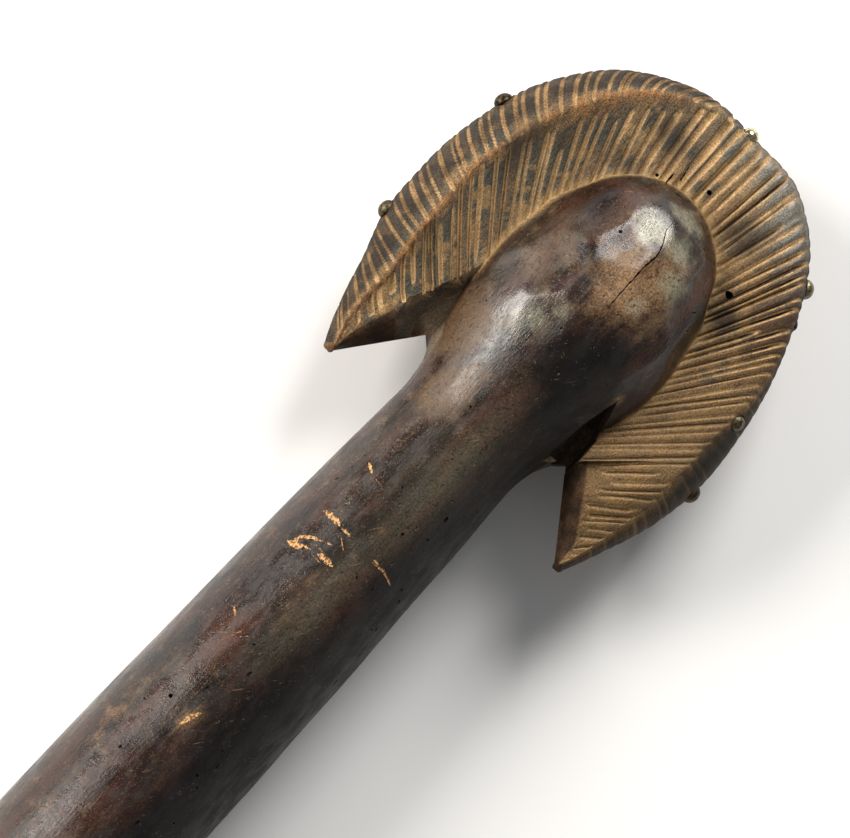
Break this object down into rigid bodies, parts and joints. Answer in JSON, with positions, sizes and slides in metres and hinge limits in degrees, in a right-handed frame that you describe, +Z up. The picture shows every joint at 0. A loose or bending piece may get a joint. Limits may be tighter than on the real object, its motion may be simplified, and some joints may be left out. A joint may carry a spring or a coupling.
{
  "type": "sceptre",
  "caption": "Hand-carved hardwood sceptre lying on its back: round staff, egg-shaped knob in a grooved horseshoe crest with two swept-back horns, domed tacks in the rim.",
  "frame": {"origin": "middle of the bounding box's underside, on the surface that the sceptre lies on", "axes": "+X along the staff towards the crested head, +Y towards the left horn as the carved front is seen with the head up, +Z up out of the carved front"},
  "size_m": [0.5608, 0.0968, 0.0442],
  "materials": {
    "patinated_hardwood": "hand-polished by use, dark patina, dusty grooves",
    "worn_brass": "tarnished, worn bright on top"
  },
  "bodies": {
    "root": {"carved_wood": "patinated_hardwood", "tack_left_horn": "worn_brass", "tack_left_shoulder": "worn_brass", "tack_apex": "worn_brass", "tack_right_shoulder": "worn_brass", "tack_right_side": "worn_brass", "tack_right_ridge": "worn_brass", "tack_right_horn": "worn_brass"}
  },
  "joints": []
}
